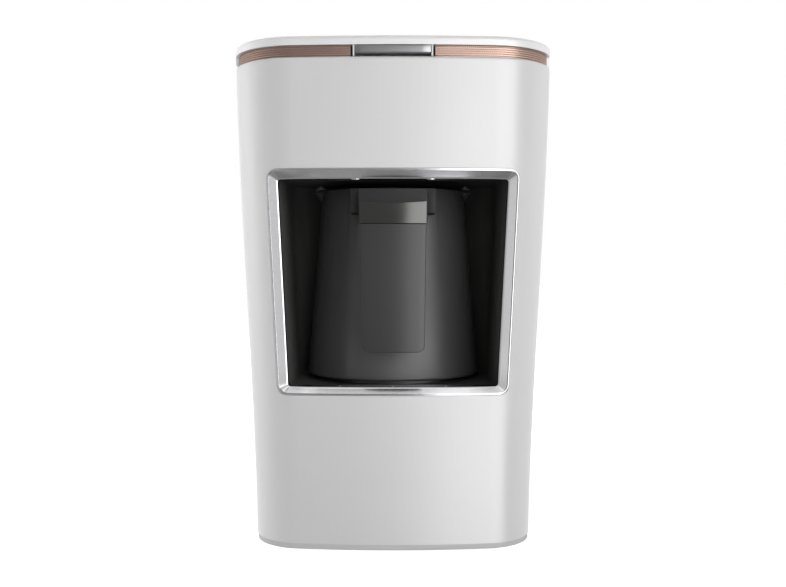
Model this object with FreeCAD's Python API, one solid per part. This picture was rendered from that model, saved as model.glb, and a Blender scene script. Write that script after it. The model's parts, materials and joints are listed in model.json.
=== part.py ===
# Electric coffee maker for one pot, in millimetres, as an assembly of separate pieces.
# The origin is the middle of the footprint on the table. +Z is up, the front faces -Y,
# and +X is to the right as seen from the front.
import FreeCAD, Part
import math
import os

from FreeCAD import Vector

os.makedirs("parts", exist_ok=True)

# Body: overall size and outline
height = 250.0
depth = 190.0
half_width_top = 80.9
half_width_bottom = 69.6
taper_swing = 0.62            # how much of the side's flare follows an S-curve
front_lean = 6.0              # how far the foot of the front face stands back from its top
rear_lean = 4.0
bow_radius_top = 620.0        # plan radius of the gently bowed front
bow_radius_bottom = 360.0
front_corner_top = 34.0       # plan radius of the front corners
front_corner_bottom = 26.0
rear_corner = 22.0
body_wall = 2.6
shoulder_radius = 1.3         # rounding of the body's upper edge
level_count = 6               # outlines that the body's surface is drawn through
split_from_rear = 29.0        # the body ends and the rear cover starts this far from the back
seam = 0.4                    # open line between two outer shells
shell_play = 0.3              # clearance of a piece that slips inside the shell

# Base
foot_proud = 0.5
base_thickness = 2.7
base_inset = 0.4
base_lip_height = 7.0
base_lip_wall = 1.8
foot_radius = 7.0
foot_thickness = 1.7
foot_from_side = 19.0
foot_from_front = 24.0
foot_from_rear = 21.0
foot_play = 0.15
foot_chamfer = 0.4

# Top: lid, slot and deck
lid_lip = 4.6                 # height of the lid's front face
lid_top = 2.4
lid_skirt = 2.4
lid_lip_depth = 6.0
lid_edge_radius = 1.9
lid_foot_radius = 1.8         # rounding of the lid's lower edge beside the slot
slot_height = 5.5
slot_reach = 29.0             # the slot runs round the corners to this far behind the front
flange_depth = 7.5
flange_thickness = 2.0
deck_thickness = 2.4
deck_play = 0.3
post_radius = 3.6
post_from_side = 21.0
post_from_front = 34.0
post_from_rear = 27.0
deck_screw_bite = 6.0

# Perforated band
band_recess = 1.5
band_top_gap = 0.8            # open slit between the band and the lid
band_thickness = 0.6
band_rows = 3
band_pitch = 2.4
band_hole = 0.55
band_end_gap = 1.2            # open slit between the band and the bar's housing

# Push bar
bar_half = 18.25
bar_play = 0.3
bar_drop = 0.2                # gap under the lid
bar_height = 4.1
bar_chamfer = 0.7
bar_depth = 6.0
bar_travel = 1.0
cheek = 0.8
housing_front_inset = 0.6
housing_wall = 1.5
spring_room = 4.5
stem_radius = 1.5
stem_play = 0.2
stem_from_middle = 12.0
stem_past_wall = 3.2
barb_radius = 2.0
barb_length = 0.7
barb_play = 0.1
spring_seat = 0.05            # a coil stops this far short of what it bears on
actuator_past_wall = 2.8
bar_spring_radius = 2.1       # middle of the wire
bar_spring_wire = 0.2         # radius of the wire
bar_spring_turns = 3

# Control board on the deck
board_thickness = 1.6
board_standoff = 1.0
standoff_radius = 2.2
control_half = 36.0
control_depth = 34.0
switch_half = 3.5
switch_depth = 7.0
switch_height = 4.6
plunger_radius = 1.2
plunger_length = 3.4
plunger_play = 0.06
plunger_inside = 1.2
plunger_end_play = 0.3
buzzer_radius = 6.0
buzzer_height = 6.4
buzzer_hole = 1.0
led_radius = 1.5
led_height = 3.4
led_from_middle = 28.0
plug_from_standoff = 6.0      # where the harness meets the control board
plug_from_rear = 3.0
control_screw_bite = 1.8

# Window frame
frame_drop = 63.9             # from the top of the body to the frame
pot_headroom = 1.9            # from the pot's rim to the opening's upper edge
side_strip_top = 16.66        # body left beside the frame at its top
side_strip_bottom = 15.95
frame_corner = 5.0
frame_border_top = 4.8
frame_border_bottom = 3.8
frame_border_side = 5.0
frame_inner_corner = 1.5
frame_bead = 0.6              # width of the raised outer bead
frame_proud = 0.5
frame_step = 0.4              # the bevel starts this far below the body's surface
bevel_depth = 4.5
frame_depth = 13.0
frame_gap = 0.15
frame_flange = 3.5
frame_fit = 0.1               # between the frame's flange and the shell's inside
frame_screw_from_end = 18.0
frame_screw_outset = 0.4
frame_screw_skin = 0.5        # left in front of the screw's hole

# Chamber that the pot stands in
chamber_axis = 74.0           # from the front of the body at its top to the pot's axis
liner_wall = 2.0
liner_over = 0.5              # the chamber is this much wider than the frame's opening
liner_flange = 2.0
ceiling_over = 3.7
floor_under = 2.2

# Foam sensors in the ceiling
sensor_from_middle = 42.0
sensor_behind_axis = 23.0
sensor_flange_radius = 2.7
sensor_flange = 1.0
sensor_drop = 1.0             # from the ceiling to the flange
sensor_neck_radius = 1.1
sensor_play = 0.12
sensor_board_half = 50.0
sensor_board_depth = 20.0
sensor_board_standoff = 3.0
sensor_screw_bite = 2.0

# Heater
heater_radius = 40.0
heater_thickness = 3.0
heater_above_floor = 2.3
heater_edge_radius = 0.6
seal_wall = 1.4
seal_play = 0.05
seal_flange = 3.0
seal_flange_thickness = 1.6
seal_lip = 0.5
element_ring = 30.0
element_radius = 3.0
element_flat = 0.4
element_opening = 40.0        # degrees left open between the element's two ends
element_pin = 12.0
element_pin_over = 0.4        # the pin is this much thicker than its lead
bracket_drop = 8.5            # from the heater's underside to the bracket
bracket_thickness = 1.5
bracket_hub = 24.0
bracket_arm_half = 5.0
bracket_boss_radius = 4.0
bracket_boss_play = 0.5
bracket_boss_angles = (90, 200, 340)
bracket_pilot = 5.0
bracket_screw_bite = 4.0
stud_ring = 18.0
stud_radius = 3.0
stud_angles = (30, 150, 270)
thermostat_ring = 17.0
thermostat_radius = 7.0
thermostat_height = 5.5
thermostat_rim = 1.0
thermostat_rim_height = 1.5
thermostat_angle = 90
fuse_ring = 12.0
fuse_radius = 1.8
fuse_length = 11.0
probe_radius = 7.0
probe_cap = 1.2
probe_play = 0.3
probe_stem = 2.8
probe_guide_play = 0.2
probe_below = 6.0
probe_spring_radius = 4.2
probe_spring_wire = 0.45
probe_spring_turns = 3
clip_radius = 5.0
clip_thickness = 1.0
clip_play = 0.05

# Pot
pot_base_radius = 47.0
pot_rim_radius = 39.0
pot_height = 99.3
pot_wall = 1.2
pot_floor = 1.2
pot_over_heater = 0.2
pot_disc_thickness = 3.2
pot_disc_play = 0.05
pot_skirt = 1.3
pot_edge_radius = 1.2
spout_radius = 8.0
spout_length = 24.0
spout_below_rim = 0.8         # share of the spout's length under the rim
spout_set_back = 0.5          # share of its lean that starts inside the pot
spout_sink = 5.0              # how far the spout's axis starts inside the wall
spout_angle = 15.0            # degrees from upright

# Handle
handle_reach = 69.5           # from the pot's axis to the handle's front
handle_half_top = 16.4
handle_half_bottom = 15.35
handle_top_drop = 9.0         # from the pot's rim to the top of the handle
handle_height = 73.6
handle_corner = 3.5
handle_crown = 110.0          # plan radius of its slightly rounded front
face_thickness = 3.2
band_height = 10.7
band_gap = 0.2
band_dip = 0.8
grip_under_band = 0.2
grip_thickness = 3.3
grip_margin = 0.6
bracket_half = 21.4
bracket_from_rim = 1.5
bracket_drop_height = 12.3
bracket_cheek = 4.2
bracket_hood = 0.8
web_drop = 5.0                # the web and the arm reach this far under the bracket's cheeks
bracket_front = 53.0          # from the pot's axis to the bracket's front
bracket_web_front = 47.0      # and to the web that the arm seats on
bracket_fit = 0.05            # between the bracket and the pot's wall
arm_play = 0.3
rivet_radius = 1.5
rivet_head = 2.6
rivet_head_height = 0.8
rivet_angle = 18.0            # degrees round the pot from the handle's middle
rivet_reach = 4.0
handle_screw_reach = 4.0
handle_screw_drop = 5.4       # below the top of the handle, behind its band
screw_end_play = 1.5
head_sink = 0.3

# Rear cover
tongue_wall = 1.6
tongue_reach = 6.0
tongue_clear = 1.0            # between the tongue and what lies above, below and before it
rear_boss_radius = 4.6
rear_boss_bore = 2.95
rear_boss_web = 2.0
rear_screw_bite = 8.0
rear_screw_inset = 22.0
rear_screw_low = 30.0
rear_screw_from_top = 35.0
lug_length = 14.0
lug_half = 6.0
louvre_half = 32.0
louvre_height = 2.4
louvre_corner = 1.08
louvre_pitch = 6.0
louvre_count = 6
louvre_top_drop = 24.0        # from the cover's top edge to the first upper slot
louvre_low_start = 58.0
inlet_x = 38.0
inlet_z = 22.0
gland_bore = 3.6
gland_neck = 6.0
gland_flange_radius = 9.0
gland_flange = 1.8
gland_length = 16.0
gland_play = 0.1
gland_seat = 0.9              # depth of the flat that the gland seats on
nut_radius = 8.5
nut_thickness = 4.0
nut_play = 0.05

# Power board on the base
power_standoff = 5.0
power_stand_radius = 3.4
power_screw_bite = 3.0
power_half = 42.0
power_front = 38.0            # how far it reaches in front of the body's middle
power_rear = 30.0
relay_size = (19.0, 15.0, 15.0)
relay_place = (-24.0, -18.0)
transformer_size = (26.0, 22.0, 20.0)
transformer_place = (-22.0, 12.0)
winding_inset = 4.0           # winding inside the core at its ends and top
winding_proud = 3.0           # and standing out of it on both faces
winding_above_board = 3.0
capacitor_radius = 6.5
capacitor_height = 18.0
capacitor_place = (8.0, 14.0)
terminal_size = (22.0, 10.0, 10.0)
terminal_place = (18.0, -12.0)
terminal_well_radius = 1.6
terminal_well_depth = 3.0
terminal_well_from_middle = 7.5
terminal_entry = 2.0          # the leads go in this far behind the block's middle
connector_size = (10.0, 6.0, 7.0)
connector_place = (30.0, 22.0)

# Wiring
lead_radius = 1.3
lead_bend = 9.0
lead_from_middle = 5.0
harness_radius = 2.2
harness_bend = 11.0
harness_behind_chamber = 14.0
harness_under_deck = 9.0
harness_rise = 3.0
harness_play = 1.0

# Screws
screw_head_ratio = 1.9
screw_head_height = 1.4
screw_head_round = 0.4        # share of the head's height that is rounded
screw_cross_reach = 0.6       # share of the head's radius
screw_cross_width = 0.5       # share of the shank's radius
screw_cross_depth = 0.5       # share of the head's height
screw_play = 0.05
screw_clearance = 0.25
head_play = 0.3
small_screw = 1.1
body_screw = 1.5
base_boss_radius = 4.0
base_boss_height = 26.0
base_boss_from_side = 13.5
base_boss_from_front = 39.0
base_boss_from_rear = 59.0
base_boss_rib = 2.0
base_screw_length = 12.0
base_recess = 1.5

# Making: how far a cutter runs past a face, and how far a boss is rooted in its wall
over = 1.0
root = 0.5
blind_skin = 0.5              # left under a blind hole
hair = 0.01                   # two levels nearer than this are the same

# Levels and places that follow from the sizes
base_top = foot_proud + base_thickness
lid_bottom = height - lid_lip
body_top = lid_bottom - slot_height
flange_bottom = body_top - flange_thickness
deck_bottom = flange_bottom - deck_thickness
lid_under = height - lid_top
split_y = depth / 2 - split_from_rear
slot_end_y = -depth / 2 + slot_reach
frame_top = height - frame_drop
opening_top = frame_top - frame_border_top
pot_rim = opening_top - pot_headroom
pot_bottom = pot_rim - pot_height
heater_top = pot_bottom - pot_over_heater
heater_under = heater_top - heater_thickness
floor = heater_top - heater_above_floor
ceiling = opening_top + ceiling_over
opening_bottom = floor + floor_under
frame_bottom = opening_bottom - frame_border_bottom
frame_height = frame_top - frame_bottom
pot_y = -depth / 2 + chamber_axis
bracket_top = heater_under - bracket_drop
bracket_under = bracket_top - bracket_thickness
power_top = base_top + power_standoff + board_thickness
control_top = flange_bottom + board_standoff + board_thickness
tall = 2 * height
seal_bore = heater_radius + seal_play
seal_outer = seal_bore + seal_wall
bracket_boss_ring = seal_outer + seal_flange + bracket_boss_play + bracket_boss_radius
lean = math.atan2(front_lean, height)


# Simple solids
def box(x0, x1, y0, y1, z0, z1):
    return Part.makeBox(x1 - x0, y1 - y0, z1 - z0, Vector(x0, y0, z0))


def rod(radius, start, direction, length):
    return Part.makeCylinder(radius, length, Vector(*start), Vector(*direction))


def upright(radius, x, y, z0, z1):
    return rod(radius, (x, y, z0), (0, 0, 1), z1 - z0)


def slab(y0, y1, z0, z1):
    # Everything between two depths and two levels, from side to side
    return box(-depth, depth, y0, y1, z0, z1)


def mirrored(shape):
    return shape.mirror(Vector(0, 0, 0), Vector(1, 0, 0))


def fused(shapes):
    return shapes[0].multiFuse(shapes[1:]).removeSplitter() if len(shapes) > 1 else shapes[0]


def save(node, *shapes):
    solids = [solid for shape in shapes for solid in shape.Solids]
    whole = solids[0] if len(solids) == 1 else Part.makeCompound(solids)
    whole.exportStep(f"parts/{node}.step")
    state = "" if whole.isValid() else " NOT VALID"
    print(f"{node}: {len(solids)} solid(s), {whole.Volume:.0f} mm3{state}")


# The body's outline at a level, and its surface
def between(bottom, top, z):
    return bottom + (top - bottom) * z / height


def half_width(z):
    t = z / height
    s_curve = 3 * t**2 - 2 * t**3
    share = (1 - taper_swing) * t + taper_swing * s_curve
    return between(half_width_bottom, half_width_top, height * share)


def front_y(z):
    return -depth / 2 + front_lean * (1 - z / height)


def rear_y(z):
    return depth / 2 - rear_lean * (1 - z / height)


def corner_centre(z, inset=0.0):
    bow = between(bow_radius_bottom, bow_radius_top, z) - inset
    corner = between(front_corner_bottom, front_corner_top, z) - inset
    x = half_width(z) - inset - corner
    bow_y = front_y(z) + inset + bow
    return x, bow_y - math.sqrt((bow - corner) ** 2 - x**2), corner, bow, bow_y


def surface_y(x, z, inset=0.0):
    centre_x, centre_y, corner, bow, bow_y = corner_centre(z, inset)
    if abs(x) <= centre_x * bow / (bow - corner):
        return bow_y - math.sqrt(bow**2 - x**2)
    return centre_y - math.sqrt(corner**2 - (abs(x) - centre_x) ** 2)


def curve(first, middle, last):
    chord = last - first
    bulge = (middle - first).cross(chord).Length / chord.Length
    if bulge < hair / 10:
        return Part.makeLine(first, last)
    return Part.Arc(first, middle, last).toShape()


def quarter(x, y, radius, start, z, sign=1):
    places = [math.radians(start + sign * step) for step in (0, 45, 90)]
    return [Vector(x + radius * math.cos(a), y + radius * math.sin(a), z) for a in places]


def plan_wire(z, inset=0.0):
    x, y, corner, bow, bow_y = corner_centre(z, inset)
    rear = rear_y(z) - inset
    side = half_width(z) - inset
    rear_r = rear_corner - inset
    turn = math.atan2(x, bow_y - y)
    blend = [turn + (math.pi / 2 - turn) * step for step in (0, 0.5, 1)]
    right = [Vector(x + corner * math.sin(a), y - corner * math.cos(a), z) for a in blend]
    back = quarter(side - rear_r, rear - rear_r, rear_r, 0, z)
    flip = [Vector(-p.x, p.y, z) for p in right]
    back_left = [Vector(-p.x, p.y, z) for p in back]
    edges = [
        curve(flip[0], Vector(0, bow_y - bow, z), right[0]),
        curve(*right),
        Part.makeLine(right[2], back[0]),
        curve(*back),
        Part.makeLine(back[2], back_left[2]),
        curve(*reversed(back_left)),
        Part.makeLine(back_left[0], flip[2]),
        curve(*reversed(flip)),
    ]
    return Part.Wire(edges)


envelopes = {}


def envelope(inset=0.0):
    if inset not in envelopes:
        levels = [height * step / (level_count - 1) for step in range(level_count)]
        envelopes[inset] = Part.makeLoft([plan_wire(z, inset) for z in levels], True)
    return envelopes[inset]


def layer(inset, z0, z1):
    return envelope(inset).common(slab(-depth, depth, z0, z1))


def plate(inset, z0, z1):
    return Part.Face(plan_wire(z0, inset)).extrude(Vector(0, 0, z1 - z0))


# Screws, coils and wires
def screw(radius, head_seat, direction, length):
    axis = Vector(*direction)
    head_radius = radius * screw_head_ratio
    seat = Vector(*head_seat)
    head = Part.makeCylinder(head_radius, screw_head_height, seat - axis * screw_head_height, axis)
    crown = head.Edges[0] if head.Edges[0].CenterOfMass.distanceToPoint(seat) > hair else head.Edges[2]
    head = head.makeFillet(screw_head_height * screw_head_round, [crown])
    slot_half = head_radius * screw_cross_reach
    slot_wide = radius * screw_cross_width
    slot = Part.makeBox(2 * slot_half, slot_wide, screw_head_height, Vector(-slot_half, -slot_wide / 2, 0))
    cross = slot.fuse(slot.rotated(Vector(), Vector(0, 0, 1), 90))
    cross.Placement = FreeCAD.Placement(
        seat - axis * screw_head_height * (2 - screw_cross_depth), FreeCAD.Rotation(Vector(0, 0, 1), axis)
    )
    shank = Part.makeCylinder(radius, length, seat, axis)
    return fused([head, shank]).cut(cross)


def coil(start, direction, radius, wire, length, turns):
    quarters = 4 * turns

    def point(step):
        angle = step * math.pi / 2
        return Vector(radius * math.cos(angle), radius * math.sin(angle), length * step / quarters)

    edges = [Part.Arc(point(i), point(i + 0.5), point(i + 1)).toShape() for i in range(quarters)]
    path = Part.Wire(edges)
    heading = edges[0].tangentAt(edges[0].FirstParameter)
    profile = Part.Wire(Part.makeCircle(wire, point(0), heading))
    wound = path.makePipeShell([profile], True, False)
    wound.Placement = FreeCAD.Placement(
        Vector(*start), FreeCAD.Rotation(Vector(0, 0, 1), Vector(*direction))
    )
    return wound


def wire_run(points, radius, bend):
    points = [Vector(*p) for p in points]
    edges = []
    here = points[0]
    for corner, after in zip(points[1:], points[2:]):
        came = (corner - here).normalize()
        goes = (after - corner).normalize()
        turn = came.getAngle(goes)
        back = bend * math.tan(turn / 2)
        inward = (goes - came).normalize()
        arc_start = corner - came * back
        arc_end = corner + goes * back
        arc_middle = corner + inward * (bend / math.cos(turn / 2) - bend)
        edges.append(Part.makeLine(here, arc_start))
        edges.append(Part.Arc(arc_start, arc_middle, arc_end).toShape())
        here = arc_end
    edges.append(Part.makeLine(here, points[-1]))
    heading = (points[1] - points[0]).normalize()
    profile = Part.Wire(Part.makeCircle(radius, points[0], heading))
    return Part.Wire(edges).makePipeShell([profile], True, False)


# Window outline: a trapezium with round corners, as runs of three points in x and z
def frame_side(z):
    top = half_width(frame_top) - side_strip_top
    bottom = half_width(frame_bottom) - side_strip_bottom
    return bottom + (top - bottom) * (z - frame_bottom) / frame_height


def window_runs(grow, corner):
    top = frame_top + grow[0]
    bottom = frame_bottom - grow[1]
    wide = frame_side(top) + grow[2]
    narrow = frame_side(bottom) + grow[2]
    points = [(-wide, top), (wide, top), (narrow, bottom), (-narrow, bottom)]
    runs = []
    rounds = []
    for i, (x, z) in enumerate(points):
        before = points[i - 1]
        after = points[(i + 1) % 4]
        into = Vector(before[0] - x, before[1] - z, 0).normalize()
        out = Vector(after[0] - x, after[1] - z, 0).normalize()
        half_angle = into.getAngle(out) / 2
        back = corner / math.tan(half_angle)
        middle = Vector(x, z, 0) + (into + out).normalize() * (corner / math.sin(half_angle) - corner)
        place = Vector(x, z, 0)
        rounds.append((place + into * back, middle, place + out * back))
    for i, (first, middle, last) in enumerate(rounds):
        following = rounds[(i + 1) % 4][0]
        runs.append((first, middle, last))
        runs.append((last, (last + following) * 0.5, following))
    return runs


def window_wire(grow, corner, place):
    return Part.Wire([curve(*[place(p.x, p.y) for p in run]) for run in window_runs(grow, corner)])


def level_with(y):
    return lambda x, z: Vector(x, y, z)


def on_surface(behind):
    return lambda x, z: Vector(x, surface_y(x, z) + behind, z)


def same_grow(amount):
    return (amount, amount, amount)


opening_grow = (-frame_border_top, -frame_border_bottom, -frame_border_side)


def window_prism(grow, corner, y0, y1):
    return Part.Face(window_wire(grow, corner, level_with(y0))).extrude(Vector(0, y1 - y0, 0))


def behind_front(distance):
    block = slab(distance, tall, -height, tall)
    block.rotate(Vector(0, 0, 0), Vector(1, 0, 0), math.degrees(lean))
    block.translate(Vector(0, front_y(0), 0))
    return block


# Outer shells
def whole_shell():
    outer = layer(0, base_top, body_top)
    rim = [edge for edge in outer.Edges if edge.BoundBox.ZMin > body_top - hair]
    outer = outer.makeFillet(shoulder_radius, rim)
    hollow = layer(body_wall, 0, flange_bottom)
    mouth = plate(flange_depth, flange_bottom - over, height)
    return outer.cut([hollow, mouth])


def base_boss_places():
    x = half_width(0) - base_boss_from_side
    levels = (base_boss_from_front - depth / 2, depth / 2 - base_boss_from_rear)
    return [(side * x, y) for side in (-1, 1) for y in levels]


def rear_screw_places():
    levels = (rear_screw_low, body_top - rear_screw_from_top)
    return [(side * (half_width(z) - rear_screw_inset), z) for side in (-1, 1) for z in levels]


def body_shell(shell):
    front = shell.common(slab(-depth, split_y, 0, height))
    added = []
    for x, y in base_boss_places():
        post = upright(base_boss_radius, x, y, base_top, base_top + base_boss_height)
        rib_low = base_top + base_lip_height + tongue_clear
        outward = math.copysign(half_width(0), x)
        rib = box(min(x, outward), max(x, outward), y - base_boss_rib / 2, y + base_boss_rib / 2,
                  rib_low, base_top + base_boss_height)
        added += [post, rib.common(envelope(body_wall / 2))]
    lug_front = rear_boss_front() - lug_length
    for x, z in rear_screw_places():
        outward = math.copysign(half_width(z) + body_wall, x)
        inner = x - math.copysign(lug_half, x)
        lug = box(min(inner, outward), max(inner, outward), lug_front, lug_front + lug_length,
                  z - lug_half, z + lug_half)
        added.append(lug.common(envelope(body_wall / 2)))
    front = fused([front] + added)
    cuts = [window_prism(same_grow(frame_gap), frame_corner, -depth, pot_y)]
    for x, y in base_boss_places():
        cuts.append(upright(body_screw + screw_play, x, y, 0, base_top + base_screw_length))
    for x, z in rear_screw_places():
        cuts.append(rod(body_screw + screw_play, (x, lug_front, z), (0, 1, 0), lug_length))
    save("body_shell", front.cut(cuts))


def rear_boss_front():
    return split_y - tongue_reach - tongue_clear


def rear_cover(shell):
    start = split_y + seam
    cover = shell.common(slab(start, depth, 0, height))
    low = base_top + base_lip_height + tongue_clear
    high = deck_bottom - tongue_clear
    band = slab(split_y - tongue_reach, start + tongue_reach, low, high)
    near = slab(start, start + tongue_reach, low, high)
    inner = body_wall + shell_play
    tongue = envelope(inner).cut(envelope(inner + tongue_wall)).common(band)
    tongue_root = envelope(body_wall / 2).cut(envelope(inner + tongue_wall)).common(near)
    boss_front = rear_boss_front()
    core = envelope(body_wall / 2)
    bosses = [rod(rear_boss_radius, (x, boss_front, z), (0, 1, 0), depth).common(core)
              for x, z in rear_screw_places()]
    cover = fused([cover, tongue, tongue_root] + bosses)
    cuts = []
    for x, z in rear_screw_places():
        cuts.append(rod(rear_boss_bore, (x, boss_front + rear_boss_web, z), (0, 1, 0), depth))
        cuts.append(rod(body_screw + screw_clearance, (x, boss_front - over, z), (0, 1, 0), depth))
    upper = body_top - louvre_top_drop
    starts = [upper - i * louvre_pitch for i in range(louvre_count)]
    starts += [louvre_low_start + i * louvre_pitch for i in range(louvre_count)]
    for z in starts:
        slot = box(-louvre_half, louvre_half, rear_y(z) - 2 * body_wall, depth, z, z + louvre_height)
        ends = [edge for edge in slot.Edges if edge.BoundBox.YLength > body_wall]
        cuts.append(slot.makeFillet(louvre_corner, ends))
    cuts.append(rod(gland_neck + gland_play, (inlet_x, split_y, inlet_z), (0, 1, 0), depth))
    cuts.append(rod(gland_flange_radius + gland_play, (inlet_x, inlet_seat(), inlet_z), (0, 1, 0), depth))
    save("rear_cover", cover.cut(cuts))


def inlet_seat():
    return rear_y(inlet_z) - gland_seat


def top_cover():
    lid = layer(0, body_top + seam, height)
    rim = [edge for edge in lid.Edges if edge.BoundBox.ZMin > height - hair]
    lid = lid.makeFillet(lid_edge_radius, rim)
    foot = [edge for edge in lid.Edges if edge.BoundBox.ZMax < body_top + seam + hair]
    lid = lid.makeFillet(lid_foot_radius, foot)
    hollow = plate(lid_skirt, body_top, lid_under)
    lip = layer(0, lid_bottom, lid_under).cut(plate(lid_lip_depth, lid_bottom - over, height))
    lip = lip.common(layer(lid_skirt / 2, 0, height))
    lip = lip.common(slab(-depth, slot_end_y + lid_lip_depth, 0, height))
    slot = slab(-depth, slot_end_y, 0, lid_bottom)
    posts = [upright(post_radius, x, y, flange_bottom, lid_under + root) for x, y in post_places()]
    lid = fused([lid.cut(hollow), lip]).cut(slot)
    lid = fused([lid] + posts)
    pilots = [upright(body_screw + screw_play, x, y, 0, lid_bottom) for x, y in post_places()]
    save("top_cover", lid.cut(pilots))


def post_places():
    x = half_width(height) - post_from_side
    return [(side * x, y) for side in (-1, 1)
            for y in (-depth / 2 + post_from_front, depth / 2 - post_from_rear)]


def control_board_box():
    front = housing_wall_front() + housing_wall + actuator_past_wall + plunger_length - plunger_inside
    return front, front + control_depth


def control_standoffs():
    front, rear = control_board_box()
    x = control_half - 2 * standoff_radius
    rows = (front + 2 * standoff_radius, rear - 2 * standoff_radius)
    return [(side * x, y) for side in (-1, 1) for y in rows]


def top_deck():
    deck = plate(body_wall + deck_play, deck_bottom, flange_bottom)
    stands = [upright(standoff_radius, x, y, flange_bottom - root, flange_bottom + board_standoff)
              for x, y in control_standoffs()]
    deck = fused([deck] + stands)
    cuts = [upright(body_screw + screw_clearance, x, y, 0, height) for x, y in post_places()]
    cuts += [upright(small_screw + screw_play, x, y, deck_bottom + blind_skin, height)
             for x, y in control_standoffs()]
    x, y = control_plug()
    cuts.append(upright(harness_radius + harness_play, x, y, 0, height))
    for i in range(louvre_count):
        y = split_y - i * 2 * louvre_height
        cuts.append(box(-louvre_half, louvre_half, y - louvre_height, y, 0, height))
    save("top_deck", deck.cut(cuts))
    save("deck_screws", *[screw(body_screw, (x, y, deck_bottom), (0, 0, 1), deck_thickness + deck_screw_bite)
                          for x, y in post_places()])


def vent_bands():
    band_tall = lid_bottom - band_top_gap - body_top
    outer = plate(band_recess, body_top, body_top + band_tall)
    band = outer.cut(plate(band_recess + band_thickness, body_top - over, height))
    inner_x = bar_half + bar_play + cheek + band_end_gap
    band = band.common(box(inner_x, depth, -depth, slot_end_y - seam, 0, height))
    x, y, corner, bow, bow_y = corner_centre(body_top, band_recess)
    turn = math.atan2(x, bow_y - y)
    first = math.asin((inner_x + band_pitch) / bow)
    row_gap = band_tall / (band_rows + 1)
    holes = []
    for row in range(band_rows):
        z = body_top + row_gap * (row + 1)
        stagger = band_pitch / 2 * (row % 2)
        bow_count = int((turn - first) * bow / band_pitch)
        for i in range(bow_count):
            angle = first + (i * band_pitch + stagger) / bow
            holes.append(band_hole_rod(0, bow_y, bow, angle, z))
        corner_count = int((math.pi / 2 - turn) * corner / band_pitch)
        for i in range(corner_count):
            angle = turn + (i * band_pitch + stagger + band_pitch / 2) / corner
            if y - corner * math.cos(angle) < slot_end_y - seam - band_pitch / 2:
                holes.append(band_hole_rod(x, y, corner, angle, z))
    band = band.cut(holes)
    save("vent_band_right", band)
    save("vent_band_left", mirrored(band))


def band_hole_rod(x, y, radius, angle, z):
    out = Vector(math.sin(angle), -math.cos(angle), 0)
    start = Vector(x, y, z) + out * (radius - 2 * band_thickness)
    return Part.makeCylinder(band_hole, 3 * band_thickness, start, out)


# Push bar and what it presses
def bar_levels():
    top = lid_bottom - bar_drop
    return top - bar_height, top


def bar_back():
    return -depth / 2 + bar_depth


def housing_wall_front():
    return bar_back() + spring_room


def bar_stem(x, z, end):
    return rod(stem_radius, (x, bar_back() - root, z), (0, 1, 0), end - bar_back() + root)


def push_bar():
    low, high = bar_levels()
    middle = (low + high) / 2
    bar = Part.Face(plan_wire(body_top, 0)).extrude(Vector(0, 0, bar_height))
    bar.translate(Vector(0, 0, low - body_top))
    bar = bar.common(box(-bar_half, bar_half, -depth, bar_back(), low, high))
    front_edges = [edge for edge in bar.Edges
                   if edge.BoundBox.ZMax < low + hair and edge.BoundBox.YMax < bar_back() - bar_depth / 2]
    bar = bar.makeChamfer(bar_chamfer, front_edges)
    wall_back = housing_wall_front() + housing_wall
    pieces = [bar]
    for x in (-stem_from_middle, stem_from_middle):
        pieces.append(bar_stem(x, middle, wall_back + stem_past_wall))
        pieces.append(rod(barb_radius, (x, wall_back + barb_play, middle), (0, 1, 0), barb_length))
    actuator_end = wall_back + actuator_past_wall
    pieces.append(bar_stem(0, middle, actuator_end))
    save("button_bar", fused(pieces))
    coil_start = bar_back() + bar_spring_wire + spring_seat
    coil_length = spring_room - 2 * (bar_spring_wire + spring_seat)
    springs = [coil((x, coil_start, middle), (0, 1, 0), bar_spring_radius, bar_spring_wire, coil_length,
                    bar_spring_turns)
               for x in (-stem_from_middle, stem_from_middle)]
    save("button_springs", *springs)
    switch_front = actuator_end + plunger_length - plunger_inside
    save("switch_plunger", rod(plunger_radius, (0, actuator_end, middle), (0, 1, 0), plunger_length))
    switch = box(-switch_half, switch_half, switch_front, switch_front + switch_depth,
                 control_top, control_top + switch_height)
    bore = rod(plunger_radius + plunger_play, (0, switch_front, middle), (0, 1, 0),
               plunger_inside + bar_travel + plunger_end_play)
    save("key_switch", switch.cut(bore))


def button_housing():
    outside = bar_half + bar_play + cheek
    inside = bar_half + bar_play
    front = -depth / 2 + housing_front_inset
    wall_front = housing_wall_front()
    wall_back = wall_front + housing_wall
    top = lid_bottom - bar_drop / 2
    block = box(-outside, outside, front, wall_back, body_top, top)
    block = block.cut(box(-inside, inside, front - over, wall_front, 0, height))
    heel_front = surface_y(outside, body_top) + flange_depth + shell_play
    heel = box(-outside, outside, heel_front, wall_back, flange_bottom, body_top)
    heel = heel.cut(box(-inside, inside, heel_front - over, wall_front, 0, height))
    low, high = bar_levels()
    middle = (low + high) / 2
    holes = [rod(stem_radius + stem_play, (x, wall_front - over, middle), (0, 1, 0), housing_wall + 2 * over)
             for x in (-stem_from_middle, 0, stem_from_middle)]
    save("button_housing", fused([block, heel]).cut(holes))


def control_plug():
    front, rear = control_board_box()
    x = -control_half + 3 * standoff_radius + plug_from_standoff
    return x, rear - harness_radius - plug_from_rear


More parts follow.
